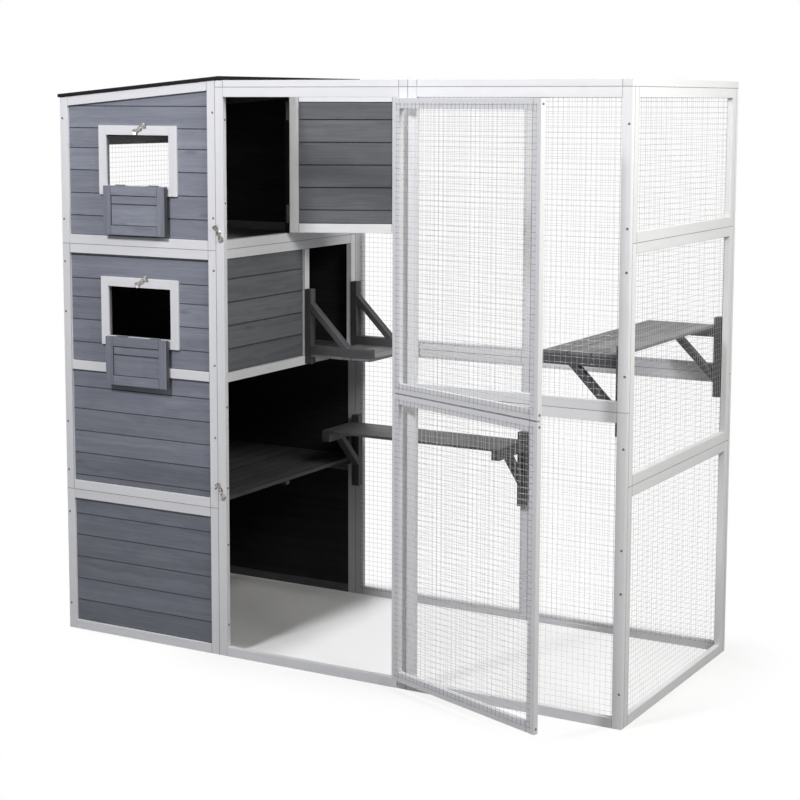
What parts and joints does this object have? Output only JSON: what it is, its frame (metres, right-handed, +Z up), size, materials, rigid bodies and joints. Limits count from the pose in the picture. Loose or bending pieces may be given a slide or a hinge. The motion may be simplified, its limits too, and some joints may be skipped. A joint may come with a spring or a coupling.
{
  "type": "cat enclosure",
  "caption": "Outdoor wooden cat enclosure: a boarded nest tower with shuttered windows beside a wire mesh run with hinged doors, shelves and turn latches.",
  "frame": {"origin": "centre of the whole enclosure's box at ground level, with the doors open as they rest", "axes": "+X along the front from the tower to the run, +Y from the front to the back, +Z up"},
  "size_m": [1.9996, 1.1028, 1.834],
  "materials": {
    "white_frames": "white painted softwood",
    "grey_boards": "grey-blue stained boards",
    "dark_wood": "dark grey stained softwood",
    "mesh": "galvanised welded wire",
    "hinge_steel": "zinc plated steel",
    "latch_metal": "plated turn latch",
    "roof_felt": "black mineral roofing felt"
  },
  "bodies": {
    "cage": {"tower_front_boards": "grey_boards", "tower_front_bottom_frame": "white_frames", "tower_front_middle_frame": "white_frames", "tower_front_top_frame": "white_frames", "tower_back_boards": "grey_boards", "tower_back_frame": "white_frames", "tower_left_frame": "white_frames", "tower_left_boards": "grey_boards", "tower_left_net": "mesh", "tower_side_middle_frame": "white_frames", "tower_side_top_frame": "white_frames", "tower_side_boards": "grey_boards", "nest_floor": "dark_wood", "middle_floor": "dark_wood", "lower_platform": "dark_wood", "floor_battens": "dark_wood", "roof_panel": "dark_wood", "roof_felt": "roof_felt", "door_bay_frame": "white_frames", "front_lower_frame": "white_frames", "front_upper_frame": "white_frames", "front_nets": "mesh", "side_lower_frame": "white_frames", "side_middle_frame": "white_frames", "side_upper_frame": "white_frames", "side_nets": "mesh", "back_lower_frames": "white_frames", "back_upper_frames": "white_frames", "back_nets": "mesh", "top_left_frame": "white_frames", "top_right_frame": "white_frames", "top_nets": "mesh", "wall_shelf": "dark_wood", "back_shelf": "dark_wood", "landing_shelf": "dark_wood", "shelf_brackets": "dark_wood", "hinge_frame_leaves": "hinge_steel", "hinge_pins": "hinge_steel", "upper_window_trim": "white_frames", "lower_window_trim": "white_frames", "latch_bases": "latch_metal"},
    "upper_door": {"upper_door_frame": "white_frames", "upper_door_net": "mesh", "upper_door_hinge_leaves": "hinge_steel"},
    "lower_door": {"lower_door_frame": "white_frames", "lower_door_net": "mesh", "lower_door_hinge_leaves": "hinge_steel"},
    "nest_door": {"nest_door_frame": "white_frames", "nest_door_boards": "grey_boards", "nest_door_hinge_leaves": "hinge_steel"},
    "upper_shutter": {"upper_shutter_frame": "grey_boards", "upper_shutter_boards": "grey_boards", "upper_shutter_hinge_leaves": "hinge_steel"},
    "lower_shutter": {"lower_shutter_frame": "grey_boards", "lower_shutter_boards": "grey_boards", "lower_shutter_hinge_leaves": "hinge_steel"},
    "upper_door_latch": {"upper_door_latch": "latch_metal"},
    "lower_door_latch": {"lower_door_latch": "latch_metal"},
    "upper_window_latch": {"upper_window_latch": "latch_metal"},
    "lower_window_latch": {"lower_window_latch": "latch_metal"}
  },
  "joints": [
    {"name": "upper_door_swing", "type": "hinge", "parent": "cage", "child": "upper_door", "pos_m": [0.2715, -0.31186, 1.33688], "axis": [0, 0, 1], "range_deg": [-159, 19]},
    {"name": "lower_door_swing", "type": "hinge", "parent": "cage", "child": "lower_door", "pos_m": [0.2715, -0.31186, 0.46813], "axis": [0, 0, 1], "range_deg": [-159, 19]},
    {"name": "nest_door_swing", "type": "hinge", "parent": "cage", "child": "nest_door", "pos_m": [-0.37595, 0.11019, 1.55657], "axis": [0, 0, 1], "range_deg": [-116, 62]},
    {"name": "upper_shutter_drop", "type": "hinge", "parent": "cage", "child": "upper_shutter", "pos_m": [-0.6825, -0.31136, 1.48933], "axis": [1, 0, 0], "range_deg": [-180, 0]},
    {"name": "lower_shutter_drop", "type": "hinge", "parent": "cage", "child": "lower_shutter", "pos_m": [-0.6825, -0.31136, 1.00279], "axis": [1, 0, 0], "range_deg": [-180, 0]},
    {"name": "upper_door_latch_turn", "type": "hinge", "parent": "cage", "child": "upper_door_latch", "pos_m": [-0.36925, -0.30856, 1.35], "axis": [0, -1, 0], "range_deg": [-28, 62]},
    {"name": "lower_door_latch_turn", "type": "hinge", "parent": "cage", "child": "lower_door_latch", "pos_m": [-0.36925, -0.30856, 0.536], "axis": [0, -1, 0], "range_deg": [-28, 62]},
    {"name": "upper_window_latch_turn", "type": "hinge", "parent": "cage", "child": "upper_window_latch", "pos_m": [-0.6685, -0.30856, 1.67058], "axis": [0, -1, 0], "range_deg": [-32, 58]},
    {"name": "lower_window_latch_turn", "type": "hinge", "parent": "cage", "child": "lower_window_latch", "pos_m": [-0.6685, -0.30856, 1.18404], "axis": [0, -1, 0], "range_deg": [-32, 58]}
  ]
}
